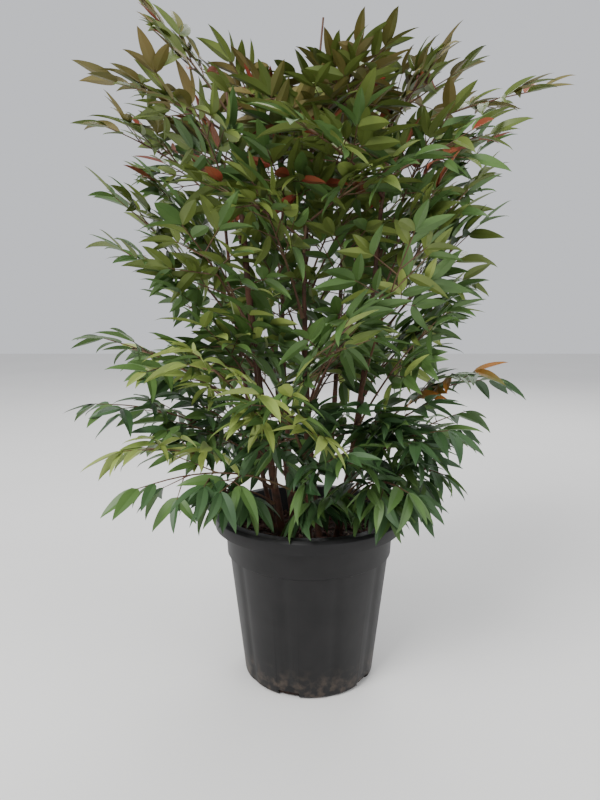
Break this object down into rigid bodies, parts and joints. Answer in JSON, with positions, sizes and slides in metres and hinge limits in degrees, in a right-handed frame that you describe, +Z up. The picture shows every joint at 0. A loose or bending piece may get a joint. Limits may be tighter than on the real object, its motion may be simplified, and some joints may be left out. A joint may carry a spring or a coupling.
{
  "type": "potted heavenly bamboo",
  "caption": "Upright multi-stemmed heavenly bamboo shrub with feathery compound leaves, growing in a round black nursery pot of dark soil.",
  "frame": {"origin": "middle of the pot's flat underside", "axes": "+Z up along the pot's axis, -Y towards the front that the picture shows, +X to its right"},
  "size_m": [0.6344, 0.5513, 0.8433],
  "materials": {
    "pot_plastic": "matte",
    "soil": "matte",
    "cane_bark": "matte",
    "foliage": "satin"
  },
  "bodies": {
    "root": {"pot": "pot_plastic", "soil": "soil", "cane_front_left": "cane_bark", "cane_left": "cane_bark", "cane_middle": "cane_bark", "cane_centre": "cane_bark", "cane_right": "cane_bark", "cane_front_right": "cane_bark", "cane_back_left": "cane_bark", "cane_back_right": "cane_bark", "cane_front": "cane_bark", "top_front_left": "foliage", "top_left": "foliage", "top_middle": "foliage", "top_centre": "foliage", "top_right": "foliage", "top_front_right": "foliage", "top_back_left": "foliage", "top_back_right": "foliage", "top_front": "foliage", "frond_left_1": "foliage", "frond_left_2": "foliage", "frond_left_3": "foliage", "frond_left_4": "foliage", "frond_left_5": "foliage", "frond_left_6": "foliage", "frond_right_1": "foliage", "frond_right_2": "foliage", "frond_right_3": "foliage", "frond_right_4": "foliage", "frond_right_5": "foliage", "frond_right_6": "foliage", "frond_right_7": "foliage", "frond_front_1": "foliage", "frond_front_2": "foliage", "frond_front_3": "foliage", "frond_front_4": "foliage", "frond_front_5": "foliage", "frond_front_6": "foliage", "frond_front_7": "foliage", "frond_back_1": "foliage", "frond_back_2": "foliage", "frond_back_3": "foliage", "frond_back_4": "foliage", "frond_back_5": "foliage", "frond_back_6": "foliage", "frond_back_7": "foliage", "frond_back_8": "foliage", "frond_back_9": "foliage", "frond_back_10": "foliage", "frond_back_11": "foliage", "frond_back_12": "foliage", "frond_inner_1": "foliage", "frond_inner_2": "foliage", "frond_inner_3": "foliage", "frond_inner_4": "foliage", "frond_inner_5": "foliage", "frond_inner_6": "foliage", "frond_inner_7": "foliage", "frond_inner_8": "foliage"}
  },
  "joints": []
}
